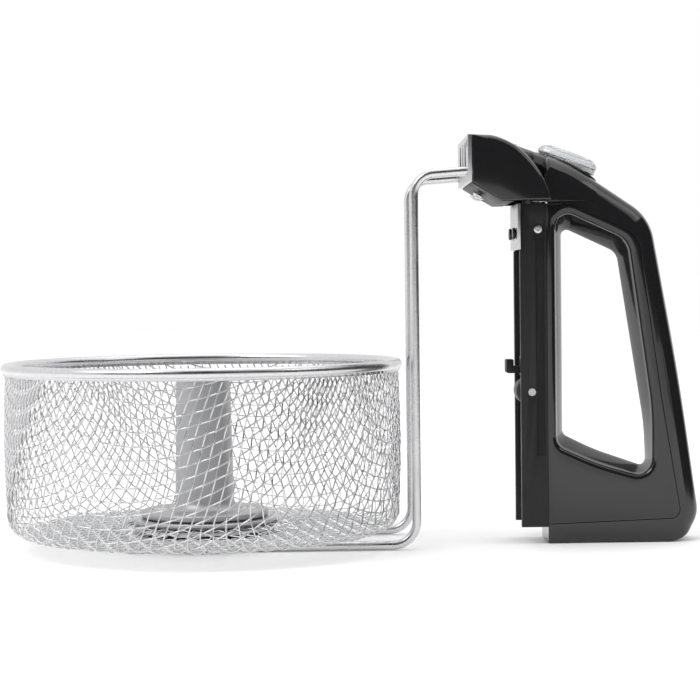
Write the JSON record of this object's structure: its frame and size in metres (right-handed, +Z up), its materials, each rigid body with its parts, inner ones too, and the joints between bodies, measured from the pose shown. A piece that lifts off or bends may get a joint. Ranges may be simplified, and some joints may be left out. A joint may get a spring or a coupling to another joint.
{
  "type": "deep fryer basket",
  "caption": "Round wire frying basket with a central hub, turning on a two-rod carrier with a slide channel, release button and D-shaped handle.",
  "frame": {"origin": "on the table under the middle of the whole object: halfway between the basket's rim and the back of the handle", "axes": "+Z up, +X from the basket towards the handle, +Y away from the near side"},
  "size_m": [0.3671, 0.2108, 0.2131],
  "materials": {
    "bright_steel": "bright drawn stainless wire and rod",
    "satin_steel": "satin stamped sheet",
    "dark_steel": "blackened fasteners",
    "cast_aluminium": "satin, fine blasted casting",
    "gloss_black": "glossy moulded plastic",
    "matt_black": "matt moulded plastic",
    "black_nylon": "smooth low-friction plastic",
    "clear_plastic": "silvery translucent moulded plastic"
  },
  "bodies": {
    "carrier": {"rod_near": "bright_steel", "rod_far": "bright_steel", "underside_screw_near": "bright_steel", "underside_screw_far": "bright_steel", "side_screw_near": "bright_steel", "side_screw_far": "bright_steel", "release_spring": "bright_steel", "bearing_plate": "satin_steel", "head_bracket": "satin_steel", "channel_tab": "satin_steel", "roller_axle": "satin_steel", "tab_screw_near": "dark_steel", "tab_screw_far": "dark_steel", "head_cover": "gloss_black", "head_underside": "gloss_black", "handle_shell": "gloss_black", "side_panel_near": "gloss_black", "side_panel_far": "gloss_black", "button_bezel": "gloss_black", "slide_channel": "matt_black", "thrust_washer": "black_nylon"},
    "basket": {"mesh_bowl": "bright_steel", "rim_ring": "bright_steel", "hub_casting": "cast_aluminium", "drive_socket": "satin_steel", "clamp_ring": "satin_steel", "base_washer": "satin_steel", "retaining_ring": "dark_steel", "hub_rivet_1": "bright_steel", "hub_rivet_2": "bright_steel"},
    "button": {"release_button": "clear_plastic"},
    "link": {"release_link": "satin_steel"},
    "latch": {"latch_bolt": "matt_black"},
    "roller": {"guide_roller": "black_nylon"}
  },
  "joints": [
    {"name": "basket_spin", "type": "hinge", "parent": "carrier", "child": "basket", "pos_m": [-0.07806, 0, 0], "axis": [0, 0, 1], "continuous": true},
    {"name": "button_press", "type": "slide", "parent": "carrier", "child": "button", "axis": [-0.342, 0, -0.9397], "range_m": [0, 0.0035], "stiffness_N_per_m": 500, "springref_m": -0.006},
    {"name": "link_slide", "type": "slide", "parent": "carrier", "child": "link", "axis": [0, 0, -1], "range_m": [0, 0.0033], "deforming": ["release_spring"]},
    {"name": "latch_retract", "type": "slide", "parent": "carrier", "child": "latch", "axis": [1, 0, 0], "range_m": [0, 0.0061]},
    {"name": "roller_spin", "type": "hinge", "parent": "carrier", "child": "roller", "pos_m": [0.09494, 0, 0.0797], "axis": [0, 1, 0], "continuous": true}
  ],
  "couplings": [
    {"joint": "link_slide", "follows": "button_press", "ratio": 0.93969},
    {"joint": "latch_retract", "follows": "button_press", "ratio": 1.7143}
  ]
}
